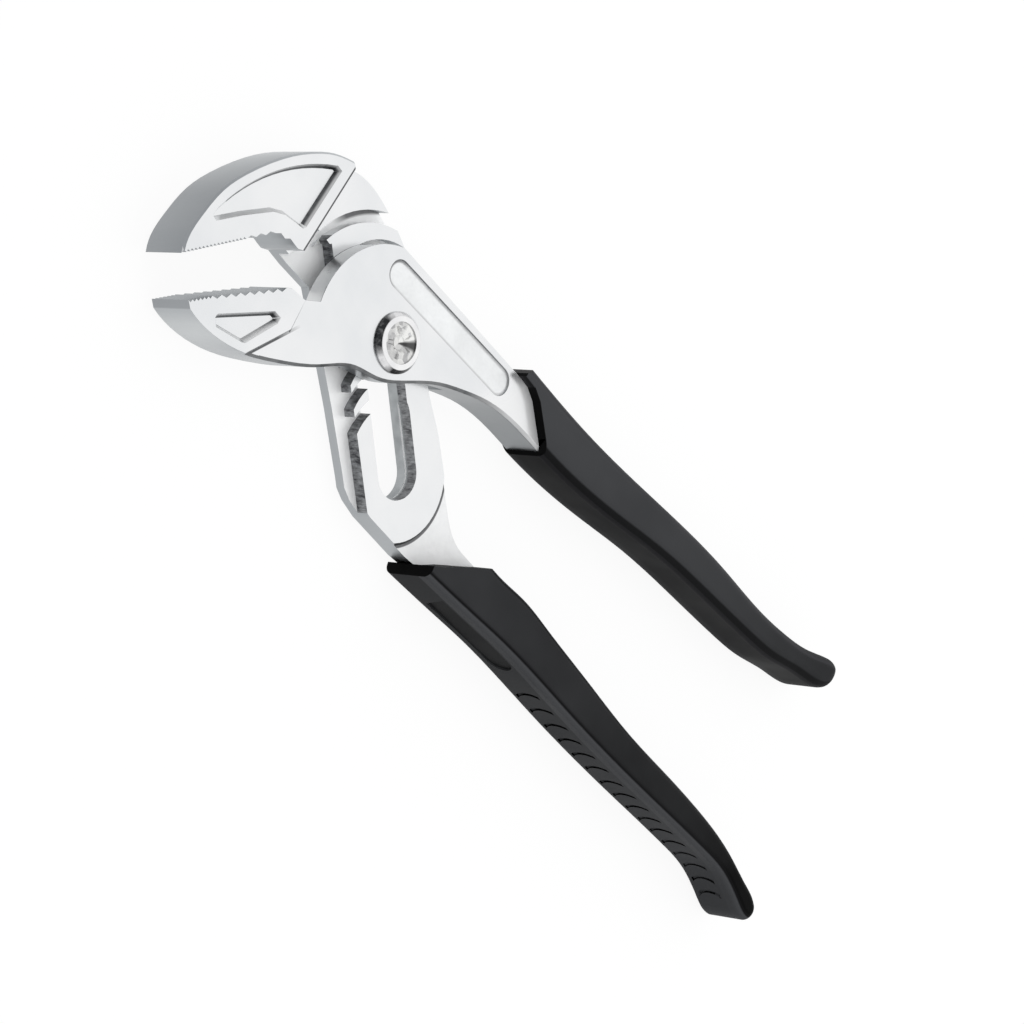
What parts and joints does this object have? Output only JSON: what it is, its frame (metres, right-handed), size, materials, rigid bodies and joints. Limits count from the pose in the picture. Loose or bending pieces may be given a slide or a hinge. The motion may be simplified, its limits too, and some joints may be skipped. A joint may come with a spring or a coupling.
{
  "type": "universal pliers",
  "caption": "Groove-joint universal pliers: two forged levers with toothed jaws, a slotted shank with a sliding pivot, and moulded handle sleeves.",
  "frame": {"origin": "on the pivot axis, in the plane that the back of the bolt head and of the sleeves rests on", "axes": "+X to the handle ends, +Y to the side of the upper handle, +Z out of the front face along the pivot axis"},
  "size_m": [0.25, 0.0785, 0.0145],
  "materials": {
    "forged_steel": "satin chrome plating",
    "sleeve_plastic": "semi-matte",
    "pivot_steel": "bright chrome plating"
  },
  "bodies": {
    "rear_body": {"rear_lever": "forged_steel", "rear_grip": "sleeve_plastic"},
    "pivot_body": {"pivot_bolt": "pivot_steel", "pivot_nut": "pivot_steel"},
    "front_body": {"front_lever": "forged_steel", "front_grip": "sleeve_plastic"}
  },
  "joints": [
    {"name": "groove_slide", "type": "slide", "parent": "rear_body", "child": "pivot_body", "axis": [0.7869, -0.617, 0], "range_m": [-0.0056, 0.028]},
    {"name": "handle_hinge", "type": "hinge", "parent": "pivot_body", "child": "front_body", "pos_m": [0, 0, 0], "axis": [0, 0, 1], "range_deg": [-4.2, 50]}
  ]
}
